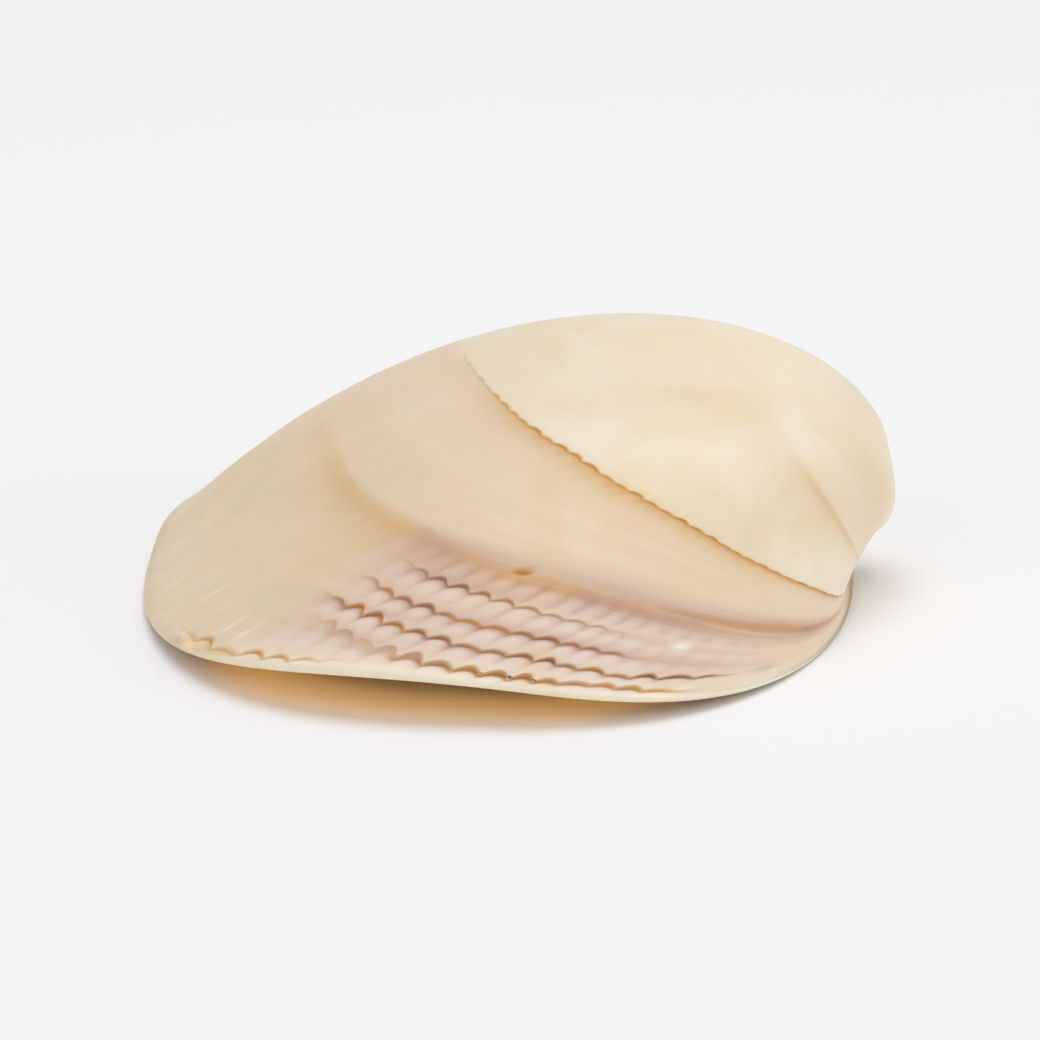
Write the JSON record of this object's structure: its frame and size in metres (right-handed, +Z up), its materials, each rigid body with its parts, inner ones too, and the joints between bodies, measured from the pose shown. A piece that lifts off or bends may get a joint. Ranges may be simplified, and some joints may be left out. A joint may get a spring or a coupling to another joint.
{
  "type": "cockle shell valve",
  "caption": "Single empty cockle valve lying hollow side down, with a curled beak, concentric growth ridges, mauve-tinged scalloped bands near the margin and a toothed hinge plate.",
  "frame": {"origin": "Under the middle of the valve's box, on the surface that it rests on.", "axes": "+X runs from the belly edge towards the beak, +Y from the long rear side to the short front side, +Z up out of the outside of the valve."},
  "size_m": [0.0312, 0.0408, 0.0107],
  "materials": {
    "shell": "Worn shell: cream and tan outside with a soft satin gloss, brown growth checks, pinkish mauve bands near the rear margin, warm ochre to cream inside."
  },
  "bodies": {
    "root": {"valve": "shell"}
  },
  "joints": []
}
